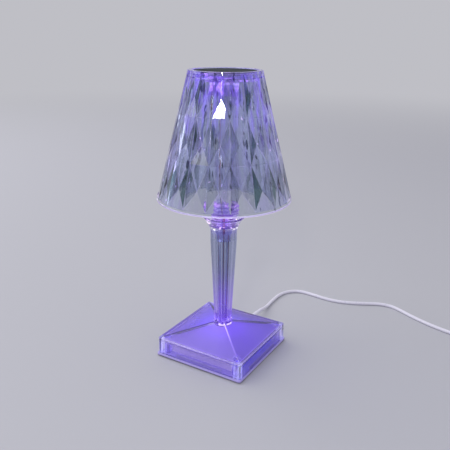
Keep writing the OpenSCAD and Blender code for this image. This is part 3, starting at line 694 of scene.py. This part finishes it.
def liner_glow(finish):
    """Brightest under the stem and on the walls."""
    wall = finish.mix(liner_right(finish), (0.110, 0.090, 0.27, 1), (0.030, 0.008, 0.42, 1))
    return finish.layers(
        (0.02, 0.006, 0.14, 1),
        (finish.fade(finish.radius(), 8, 60), (0.06, 0.02, 0.34, 1)),
        (liner_wall(finish), wall),
    )


def plate_base(finish):
    """Pale at the lip and underneath, a painted shadow dark round the lower edge, violet grey
    inside the cover.
    """
    return finish.layers(
        (0.46, 0.40, 0.76, 1),
        (finish.step(finish.z, 3.0, 3.4), (0.42, 0.38, 0.62, 1)),
        # Painted shadow along the lower edge, where the plate stands off the table
        (finish.band(finish.z, 1.06, 1.4, 0.04), (0.03, 0.02, 0.06, 1)),
    )


def plate_glow(finish):
    return finish.mix(finish.step(finish.z, 1.2, 2.4), BLACK, (0.028, 0.018, 0.12, 1))


# ---------------------------------------------------------------- metal, rubber, boards and wires


def plain_plastic(name, colour, roughness=0.45, grain=1200):
    finish = Finish(name)
    return finish.done(finish.principled(
        base_color=finish.mix(finish.patches(40, 0.3, 0.7), colour, darker(colour, 0.9)),
        roughness=finish.step(finish.noise(grain), 0.3, 0.7, roughness - 0.08, roughness + 0.08),
        normal=finish.bump(finish.noise(grain), 0.02, 0.5),
    ))


def metal_finish(name, colour, roughness, stretch=EVEN):
    finish = Finish(name)
    wear = finish.noise(300, 4.0, stretch)
    return finish.done(finish.principled(
        base_color=finish.mix(finish.step(wear, 0.35, 0.7), colour, darker(colour, 0.82)),
        metallic=1.0,
        roughness=finish.step(wear, 0.3, 0.7, roughness - 0.07, roughness + 0.09),
        normal=finish.bump(wear, 0.01, 0.4),
    ))


def brushed_plate_finish():
    """Disc brushed round its middle, coloured dark grey as a painted reflection of dark
    surroundings.
    """
    rings_per_mm, marks_per_radian = 3, 1.2
    finish = Finish("brushed_plate")
    rings = finish.node(
        "ShaderNodeCombineXYZ", {},
        {0: finish.radius() * rings_per_mm, 1: finish.turn() * marks_per_radian},
    )
    inputs = {"Vector": rings, "Scale": 1.0, "Detail": 3.0}
    brushed = finish.node("ShaderNodeTexNoise", {}, inputs, "Fac")
    marks = finish.step(brushed, 0.3, 0.7)
    smudge = finish.noise(45)
    return finish.done(finish.principled(
        base_color=finish.mix(marks, (0.026, 0.034, 0.036, 1), (0.042, 0.052, 0.054, 1)),
        specular_ior_level=0.01,
        roughness=finish.step(smudge, 0.3, 0.7, 0.4, 0.52) + (marks * 0.08 - 0.04),
        normal=finish.bump(brushed, 0.01, 0.5),
    ))


def lead_finish():
    finish = Finish("white_pvc")
    scuffs = finish.patches(260, 0.55, 0.75, 4.0)
    return finish.done(finish.principled(
        base_color=finish.mix(scuffs, (0.78, 0.76, 0.86, 1), (0.66, 0.64, 0.76, 1)),
        roughness=finish.step(scuffs, 0.0, 1.0, 0.34, 0.5),
        normal=finish.bump(finish.noise(900), 0.02, 0.5),
    ))


def board_finish(name, mask, copper, rate):
    """Printed board: solder mask over a grid that repeats every TURN / rate millimetres."""
    finish = Finish(name)
    grid = (finish.x * rate).sine() * (finish.y * rate).sine()
    tracks = finish.step(grid, 0.35, 0.45)
    return finish.done(finish.principled(
        base_color=finish.mix(tracks, mask, copper),
        roughness=finish.step(tracks, 0.0, 1.0, 0.35, 0.28),
        normal=finish.bump(tracks, 0.03, 0.6),
    ))


def chip_finish():
    finish = Finish("chip_yellow")
    return finish.done(finish.principled(
        base_color=(0.95, 0.88, 0.45, 1),
        roughness=finish.step(finish.noise(2000, 2.0), 0.3, 0.7, 0.4, 0.6),
        emission_color=(0.62, 0.36, 1.0, 1),
        emission_strength=0.7,
    ))


def wire_finish(name, colour):
    finish = Finish(name)
    return finish.done(finish.principled(
        base_color=finish.mix(finish.patches(500, 0.3, 0.7), colour, darker(colour, 0.85)),
        roughness=finish.step(finish.noise(1500), 0.3, 0.7, 0.3, 0.45),
    ))


SHADE_TINT = (0.80, 0.82, 0.88, 1)
TRAY_TINT = (0.86, 0.84, 0.94, 1)
MOULDING_TINT = (0.82, 0.83, 0.90, 1)
COLUMN_TINT = (0.93, 0.93, 0.98, 1)

FINISHES = {
    "clear_shade": clear_finish(
        "clear_shade", SHADE_TINT, shade_glow, shade_tone, waves=0.5, wavy=shade_waves
    ),
    "column": clear_finish("clear_column", COLUMN_TINT),
    "ferrule": clear_finish("clear_ferrule", MOULDING_TINT, ferrule_glow, ferrule_tone),
    "cup": clear_finish("clear_cup", MOULDING_TINT, cup_glow),
    "stem": clear_finish("clear_stem", MOULDING_TINT, stem_glow, stem_tone),
    "cover": clear_finish("clear_cover", MOULDING_TINT, cover_glow, cover_tone, cover_frost),
    "lens": clear_finish("clear_lens", MOULDING_TINT),
    "frosted": clear_finish("frosted", TRAY_TINT, tray_glow, frost=tray_frost),
    "liner": glowing_finish("pearl_liner", liner_base, liner_glow, 0.35),
    "plate": glowing_finish("pearl_plate", plate_base, plate_glow, 0.3),
    "plate_metal": brushed_plate_finish(),
    "steel": metal_finish("steel", (0.76, 0.75, 0.77, 1), 0.3),
    "steel_plate": metal_finish("steel_plate", (0.46, 0.46, 0.48, 1), 0.45, (1, 0.1, 1)),
    "battery_foil": metal_finish("battery_foil", (0.70, 0.72, 0.76, 1), 0.35, (0.3, 1, 1)),
    "board_white": board_finish(
        "board_white", (0.84, 0.84, 0.82, 1), (0.74, 0.74, 0.72, 1), 0.9
    ),
    "board_green": board_finish(
        "board_green", (0.03, 0.20, 0.09, 1), (0.07, 0.32, 0.15, 1), 1.6
    ),
    "chip_yellow": chip_finish(),
    "black_plastic": plain_plastic("black_plastic", (0.02, 0.02, 0.022, 1)),
    "rubber": plain_plastic("rubber", (0.025, 0.025, 0.027, 1), 0.7, 800),
    "white_pvc": lead_finish(),
    "white_wire": wire_finish("white_wire", (0.72, 0.71, 0.68, 1)),
    "red_wire": wire_finish("red_wire", (0.50, 0.04, 0.06, 1)),
    "cream_wire": wire_finish("cream_wire", (0.66, 0.56, 0.40, 1)),
    "grey_wire": wire_finish("grey_wire", (0.42, 0.41, 0.46, 1)),
}


# ---------------------------------------------------------------- ways to shape

MERGE = 1e-6


def everything(shape):
    return shape.verts[:] + shape.edges[:] + shape.faces[:]


def lathe(profile, steps=96, closed=False):
    """Turns a profile of radius and height, in millimetres, round the lamp's axis."""
    shape = bmesh.new()
    verts = [shape.verts.new((r * MM, 0, z * MM)) for r, z in profile]
    ends = verts[1:] + verts[:1] if closed else verts[1:]
    edges = [shape.edges.new(pair) for pair in zip(verts, ends)]
    bmesh.ops.spin(
        shape, geom=verts + edges, cent=(0, 0, 0), axis=(0, 0, 1), angle=TURN, steps=steps,
        use_merge=True,
    )
    bmesh.ops.remove_doubles(shape, verts=shape.verts, dist=MERGE)
    return shape


def soften(shape, width, segments=2, angle=35):
    """Rounds the edges that turn by more than angle degrees, and gives back the new faces."""
    edges = [
        edge for edge in shape.edges
        if len(edge.link_faces) == 2 and edge.calc_face_angle(0) > math.radians(angle)
    ]
    made = bmesh.ops.bevel(
        shape, geom=edges, offset=width * MM, offset_type="OFFSET", affect="EDGES",
        segments=segments, profile=0.5, material=-1, clamp_overlap=True,
    )
    return made["faces"]


def merged_copy(node):
    """A CAD node's mesh with its loose triangles joined into flat faces."""
    shape = bmesh.new()
    shape.from_mesh(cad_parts[node].data)
    bmesh.ops.remove_doubles(shape, verts=shape.verts, dist=2 * MERGE)
    bmesh.ops.dissolve_limit(
        shape, angle_limit=math.radians(0.4), verts=shape.verts, edges=shape.edges
    )
    return shape


def add_piece(name, shape, body, finish, nodes, sharp=38, outward=True):
    """The shape becomes a piece that rides on a body and stands for its CAD nodes."""
    if outward:
        bmesh.ops.recalc_face_normals(shape, faces=shape.faces)
    mesh = bpy.data.meshes.new(name)
    shape.to_mesh(mesh)
    shape.free()
    mesh.materials.append(FINISHES[finish])
    if sharp:
        mesh.shade_smooth()
        mesh.set_sharp_from_angle(angle=math.radians(sharp))
    made = bpy.data.objects.new(name, mesh)
    bpy.context.scene.collection.objects.link(made)
    if sharp:
        even = made.modifiers.new("even_normals", "WEIGHTED_NORMAL")
        even.keep_sharp = True
    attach(made, body)
    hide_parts(*nodes)
    return made


def dress(node, body, finish, width=0.2, segments=2):
    """A CAD node with its edges eased."""
    shape = merged_copy(node)
    if width:
        soften(shape, width, segments)
    add_piece(node + "_piece", shape, body, finish, [node], outward=False)


# ---------------------------------------------------------------- shade

# Facets painted dark as shade, or painted lit as highlights, instead: their new tone,
# and their columns in each tier from below
CHANGED_TONES = {
    HALF_BEFORE: (PAINTED_DARK_TONE, ((3, 4, 9, 12, 13), (3, 9, 13), (3, 4, 12, 13))),
    HALF_AFTER: (PAINTED_DARK_TONE, ((1, 7, 8, 16, 17), (1, 7, 16), (7, 8, 16))),
    TRIANGLE_UP: (PAINTED_LIT_TONE, ((1, 4, 6, 10, 13, 15), (1, 6, 10, 13), ())),
}
UNCHANGED = (None, ((),) * TIERS)


def facet_corner(shape, tier, level, column):
    """A corner of the facets: level 0 on the tier line, WAIST at the waist, 1 on the next line."""
    at_waist = 0 < level < 1
    z = FACET_LOW + TIER_H * (tier + level)
    r = (shade_r(z) - FACET_STEP - FACET_DEPTH * at_waist) * MM
    turn = math.radians(FACET_TURN + 360 / COLUMNS * (column + 0.5 * at_waist))
    return shape.verts.new((r * math.cos(turn), r * math.sin(turn), z * MM))


def facet_tone(face, tone):
    """The tone of a facet by its column and tier; some are painted dark as shade or lit as
    highlights.
    """
    middle = face.calc_center_median()
    turn = math.degrees(math.atan2(middle.y, middle.x)) - FACET_TURN
    column = math.floor(turn / (360 / COLUMNS) + 0.5) % COLUMNS
    tier = int((middle.z / MM - FACET_LOW) // TIER_H)
    changed, columns = CHANGED_TONES.get(round(tone, 2), UNCHANGED)
    return changed if column in columns[tier] else tone


def faceted_wall():
    """One column of facets, repeated round the shade and cut off at the crown."""
    shape = bmesh.new()
    tone = shape.faces.layers.float.new("facet_tone")
    for tier in range(TIERS):
        low, low_next = (facet_corner(shape, tier, 0, column) for column in (0, 1))
        high, high_next = (facet_corner(shape, tier, 1, column) for column in (0, 1))
        waist, waist_before = (facet_corner(shape, tier, WAIST, column) for column in (0, -1))
        shape.faces.new((low, high, waist_before))[tone] = HALF_BEFORE
        shape.faces.new((low, waist, high))[tone] = HALF_AFTER
        shape.faces.new((low, low_next, waist))[tone] = TRIANGLE_UP
        shape.faces.new((high, waist, high_next))[tone] = TRIANGLE_DOWN
    bmesh.ops.spin(
        shape, geom=everything(shape), cent=(0, 0, 0), axis=(0, 0, 1),
        angle=TURN * (COLUMNS - 1) / COLUMNS, steps=COLUMNS - 1, use_duplicate=True,
    )
    bmesh.ops.remove_doubles(shape, verts=shape.verts, dist=MERGE)
    chance = random.Random(5)
    for face in shape.faces:
        face[tone] = facet_tone(face, face[tone]) * chance.uniform(0.7, 1.2)
    for face in soften(shape, width=0.22, segments=1, angle=4):
        face[tone] = FACET_EDGE
    bmesh.ops.bisect_plane(
        shape, geom=everything(shape), plane_co=(0, 0, FACET_TOP * MM), plane_no=(0, 0, 1),
        clear_outer=True,
    )
    return shape


def smooth_wall():
    """The band above the rim, the rim, the inside, the hanging ring and the crown."""
    rim_r = shade_r(SHADE_Z)
    inner_r = rim_r - SHADE_WALL
    band = [(shade_r(FACET_LOW), FACET_LOW), (rim_r - 0.05, SHADE_Z + 1.0)]
    rim = [
        (rim_r - 0.25, SHADE_Z + 0.35), (rim_r - 0.7, SHADE_Z + 0.05), (rim_r - 1.7, SHADE_Z),
        (rim_r - 2.7, SHADE_Z + 0.05), (inner_r + 0.25, SHADE_Z + 0.35),
    ]
    inside = [(inner_r - 0.2, SHADE_Z + 1.0), (shade_r(HANG_Z) - SHADE_WALL, HANG_Z)]
    ring = [
        (HANG_R + 0.12, HANG_Z), (HANG_R, HANG_Z + 0.12), (HANG_R, LAMP_H - 0.4),
        (HANG_R + 0.37, LAMP_H),
    ]
    crown = [
        (SHADE_TOP_R - 0.3, LAMP_H), (SHADE_TOP_R - 0.05, LAMP_H - 0.2),
        (shade_r(FACET_TOP), FACET_TOP),
    ]
    return lathe(band + rim + inside + ring + crown, 144)


def open_rings(shape, z):
    """Open edges within 0.3 mm of a height."""
    return [
        edge for edge in shape.edges
        if edge.is_boundary and all(abs(vert.co.z / MM - z) < 0.3 for vert in edge.verts)
    ]


def make_shade():
    """Flat facets outside, and everything else smooth."""
    shape = faceted_wall()
    wall = smooth_wall()
    spare = bpy.data.meshes.new("smooth_wall")
    wall.to_mesh(spare)
    wall.free()
    shape.from_mesh(spare)
    bpy.data.meshes.remove(spare)
    for z in (FACET_LOW, FACET_TOP):
        bmesh.ops.bridge_loops(shape, edges=open_rings(shape, z))
    made = add_piece(
        "faceted_shade", shape, SHADE, "clear_shade", ["shade"], sharp=None
    )
    made.data.set_sharp_from_angle(angle=math.radians(30))
    tones = made.data.attributes["facet_tone"].data
    for face in made.data.polygons:
        face.use_smooth = tones[face.index].value == 0


# ---------------------------------------------------------------- column, ferrule, cup and stem


def make_column():
    shape = lathe([
        (COLUMN_BORE_R, COLUMN_Z), (COLUMN_R, COLUMN_Z), (COLUMN_R, COLUMN_TOP),
        (COLUMN_BORE_R, COLUMN_TOP),
    ], 72, closed=True)
    soften(shape, 0.25)
    add_piece("clear_column", shape, LAMP, "column", ["column"])


def make_ferrule():
    """Round ribs over a sleeve, with a tenon below and a socket for the column above."""
    tenon = [
        (WIRE_BORE_R, FERRULE_Z), (TENON_R - 0.2, FERRULE_Z), (TENON_R, FERRULE_Z + 0.22),
        (TENON_R, RIBS_Z), (FERRULE_R - 0.4, RIBS_Z), (FERRULE_R, RIBS_Z + 0.32),
    ]
    ribs = []
    for rib in range(RIBS):
        middle = RIBS_Z + RIB_PITCH * (rib + 1)
        for k in range(9):
            turn = RIB_HALF * (k / 4 - 1)
            ribs.append((RIB_AT_R + RIB_R * math.cos(turn), middle + RIB_R * math.sin(turn)))
    socket = [
        (FERRULE_R, FERRULE_TOP - 0.28), (FERRULE_R - 0.3, FERRULE_TOP),
        (FERRULE_BORE_R + 0.2, FERRULE_TOP), (FERRULE_BORE_R, FERRULE_TOP - 0.18),
        (FERRULE_BORE_R, COLUMN_Z), (WIRE_BORE_R, COLUMN_Z),
    ]
    shape = lathe(tenon + ribs + socket, 96, closed=True)
    add_piece("ribbed_ferrule", shape, LAMP, "ferrule", ["ferrule"])


def make_cup():
    """Stands on the stem's top."""
    z = STEM_TOP
    underside = [(TENON_BORE_R, z), (12.6, z)]
    outside = [(12.8, z + 0.2), (13.25, z + 1.2), (13.8, z + 3.2), (16.9, z + 8.4), (18.5, z + 10)]
    lip = [(18.5, z + 10.8), (18.3, z + 11), (16.9, z + 11), (16.7, z + 10.8)]
    inside = [(12.4, z + 3.5), (11.6, z + 2.5), (TENON_BORE_R, z + 2.5)]
    shape = lathe(underside + outside + lip + inside, 96, closed=True)
    add_piece("flared_cup", shape, LAMP, "cup", ["cup"])


def flute_depth(turn, z):
    """How far a flute cuts into the shaft."""
    off = (turn + math.pi / FLUTES) % (TURN / FLUTES) - math.pi / FLUTES
    if abs(off) >= FLUTE_HALF or not SHAFT_Z <= z < STEM_TOP:
        return 0.0
    above = z - FLUTE_END_Z
    if above > 0:
        cutter = math.sqrt(max(0, FLUTE_END_R ** 2 - above ** 2))
        deepest = max(0, cutter - (FLUTE_END_R - FLUTE_AT_HEAD))
    else:
        grown = min(1, (z - SHAFT_Z) / (HEAD_Z - SHAFT_Z))
        deepest = FLUTE_AT_FOOT + (FLUTE_AT_HEAD - FLUTE_AT_FOOT) * grown
    return deepest * (1 - (off / FLUTE_HALF) ** 2)


def make_stem():
    """A tapered shaft on a round foot, turned round the axis, then fluted."""
    foot = [
        (SCREW_BORE_R, STEM_Z), (STEM_FOOT_R - 0.3, STEM_Z), (STEM_FOOT_R, STEM_Z + 0.3),
        (STEM_FOOT_R, SHAFT_Z - 0.4), (STEM_FOOT_R - 0.4, SHAFT_Z),
    ]
    start = SHAFT_Z + 0.02
    taper = (SHAFT_HIGH_R - SHAFT_LOW_R) / (HEAD_Z - SHAFT_Z)
    heights = [start + (HEAD_Z - start) * k / 8 for k in range(9)]
    shaft = [(SHAFT_LOW_R + taper * (z - SHAFT_Z), z) for z in heights]
    head = [(SHAFT_HIGH_R, FLUTE_END_Z + 0.37 * k) for k in range(7)]
    head += [(SHAFT_HIGH_R, STEM_TOP - 0.25), (SHAFT_HIGH_R - 0.25, STEM_TOP)]
    bores = [
        (TENON_BORE_R, STEM_TOP), (TENON_BORE_R, TENON_BORE_Z), (WIRE_BORE_R, TENON_BORE_Z),
        (WIRE_BORE_R, SCREW_BORE_TOP), (SCREW_BORE_R, SCREW_BORE_TOP),
    ]
    shape = lathe(foot + shaft + head + bores, 144, closed=True)
    for vert in shape.verts:
        r = math.hypot(vert.co.x, vert.co.y)
        if r > (TENON_BORE_R + 0.1) * MM:
            depth = flute_depth(math.atan2(vert.co.y, vert.co.x), vert.co.z / MM) * MM
            vert.co.x *= (r - depth) / r
            vert.co.y *= (r - depth) / r
    add_piece("fluted_stem", shape, LAMP, "stem", ["stem"], sharp=24)


# ---------------------------------------------------------------- head


def make_touch_plate():
    low, top, r = TOUCH_PLATE_Z, TOUCH_PLATE_TOP, TOUCH_PLATE_R
    shape = lathe([
        (0, low), (r - 0.33, low), (r, low + 0.3), (r, top - 0.45), (r - 0.13, top - 0.15),
        (r - 0.48, top), (0, top),
    ], 128)
    add_piece("brushed_plate", shape, LAMP, "plate_metal", ["touch_plate"], sharp=50)


def make_lens():
    """A dome below a flange, with a well for the light chip."""
    well = [
        (0, LENS_ROOF_Z), (LENS_WELL_R, LENS_ROOF_Z), (LENS_WELL_R, LENS_TOP),
        (LENS_FLANGE_R, LENS_TOP), (LENS_FLANGE_R, LENS_Z),
    ]
    dome = [
        (LENS_DOME_R * math.sin(turn), LENS_Z - LENS_DOME_R * math.cos(turn))
        for turn in map(math.radians, range(90, -1, -10))
    ]
    add_piece("lens_dome", lathe(well + dome, 48), LAMP, "lens", ["lens"])


# ---------------------------------------------------------------- wires, millimetres

WIRE_D = 0.9
# Middle of the four wires, from the control board up to the light board
LOOM = (
    (0, 15.4, 9.45), (0, 12.8, 11), (0, 8.5, 14.9), (0, 4, 15.8), (0, 1, 16.7), (0, 0, 18.5),
    (0, 0, 28.1), (0, 0, 59.7), (0, 0, 91.4), (0, 0, 123.1), (0, 0, 130.1),
    (-1.3, 0, 141.1), (-3.5, 0, 152.1), (-5.1, 0, 166.1), (-5.6, 0, 182.1), (-5.5, 0, 198.1),
    (-5.6, 0, 214.1), (-5.9, 0, 238), (-6.3, 0, 247), (-6.4, 0, 253.9),
)


def wire_point(point, k):
    """Wires lie side by side at both ends, and in a square in the stem's bore."""
    x, y, z = point
    if y >= 1:
        return Vector((x + k, y, z)) * MM
    if z > COLUMN_Z:
        return Vector((x, y + k, z)) * MM
    half_square = 0.75
    off_x = half_square if k > 0 else -half_square
    off_y = half_square if abs(k) > 1 else -half_square
    return Vector((x + off_x, y + off_y, z)) * MM


def make_wires():
    for k, colour in zip((-1.5, -0.5, 0.5, 1.5), ("white", "grey", "red", "cream")):
        points = [wire_point(point, k) for point in LOOM]
        wire = round_tube(colour + "_wire", points, WIRE_D, sides=8, along=3)[0]
        wire.data.materials.append(FINISHES[colour + "_wire"])
        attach(wire, LAMP)
        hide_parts("wire_loom")


# ---------------------------------------------------------------- floor and lights

PALE = (0.52, 0.52, 0.56, 1)
FLOOR_R = 20


def make_floor():
    """A pale floor that fades into the studio's tone far from the lamp."""
    shape = bmesh.new()
    bmesh.ops.create_circle(shape, cap_ends=True, radius=FLOOR_R, segments=96)
    mesh = bpy.data.meshes.new("floor")
    shape.to_mesh(mesh)
    shape.free()
    floor = bpy.data.objects.new("floor", mesh)
    bpy.context.scene.collection.objects.link(floor)
    finish = Finish("floor")
    near = finish.principled(base_color=PALE, roughness=0.8, specular_ior_level=0.2)
    far = finish.node("ShaderNodeEmission", {}, {"Color": PALE})
    away = finish.step(finish.radius(), 700, 2500)
    faded = finish.node("ShaderNodeMixShader", {}, {0: away, 1: near, 2: far})
    mesh.materials.append(finish.done(faded))


def set_world():
    sky = Finish("studio", bpy.data.worlds, "Generated")
    light = sky.node("ShaderNodeBackground", {}, {"Color": PALE})
    bpy.context.scene.world = sky.done(light, "ShaderNodeOutputWorld")


def add_softbox(name, at, aim, size, power):
    """A soft rectangular light, with places and sizes in metres and power in watts."""
    data = bpy.data.lights.new(name, "AREA")
    data.shape = "RECTANGLE"
    data.size, data.size_y = size
    data.energy = power
    light = bpy.data.objects.new(name, data)
    light.visible_camera = False
    bpy.context.scene.collection.objects.link(light)
    turned = (Vector(aim) - Vector(at)).to_track_quat("-Z", "Y")
    light.matrix_world = Matrix.LocRotScale(Vector(at), turned, None)


# ---------------------------------------------------------------- making

make_shade()
make_touch_plate()
dress("head_tray", LAMP, "frosted", 0.2)
dress("light_board", LAMP, "board_white", 0.1)
dress("light_chip", LAMP, "chip_yellow", 0.3)
make_lens()
dress("touch_spring", LAMP, "steel", 0)
dress("touch_chip", LAMP, "black_plastic", 0.15)
dress("head_screws", LAMP, "steel", 0.15)
make_column()
make_ferrule()
make_cup()
make_stem()
dress("hollow_screw", LAMP, "steel", 0.06, 1)
dress("washer", LAMP, "steel", 0.15)
dress("foot_nut", LAMP, "steel", 0.25)
make_wires()
dress("base_cover", LAMP, "cover", 0.3)
dress("base_liner", LAMP, "liner", 0.2)
dress("base_plate", LAMP, "plate", 0.3)
dress("base_screws", LAMP, "steel", 0.08)
dress("rubber_feet", LAMP, "rubber", 0.3)
dress("counterweight", LAMP, "steel_plate", 0.3)
dress("battery", LAMP, "battery_foil", 0.4)
dress("control_board", LAMP, "board_green", 0.08)
dress("charge_chips", LAMP, "black_plastic", 0.12)
dress("board_screws", LAMP, "steel", 0.15)
dress("charge_socket", LAMP, "steel", 0.06)
dress("switch_body", LAMP, "steel", 0.15)
dress("switch_knob", SWITCH, "black_plastic", 0.2)
dress("plug_shell", LEAD, "steel", 0.12)
dress("plug_body", LEAD, "white_pvc", 0.3)
dress("strain_relief", LEAD, "white_pvc", 0.12)
dress("far_relief", LEAD, "white_pvc", 0.2)
dress("far_plug_body", LEAD, "white_pvc", 0.3)
dress("far_plug_shell", LEAD, "steel", 0.08)

lead.data.materials.append(FINISHES["white_pvc"])

make_floor()
set_world()
add_softbox("key", at=(0.452, -1.263, 0.927), aim=(0, 0, 0.2), size=(0.11, 0.13), power=3.8)
add_softbox("fill", at=(-1.5, -0.2, 1.6), aim=(0, 0, 0.1), size=(2.4, 2.4), power=30)
bpy.context.scene.view_settings.view_transform = "Standard"
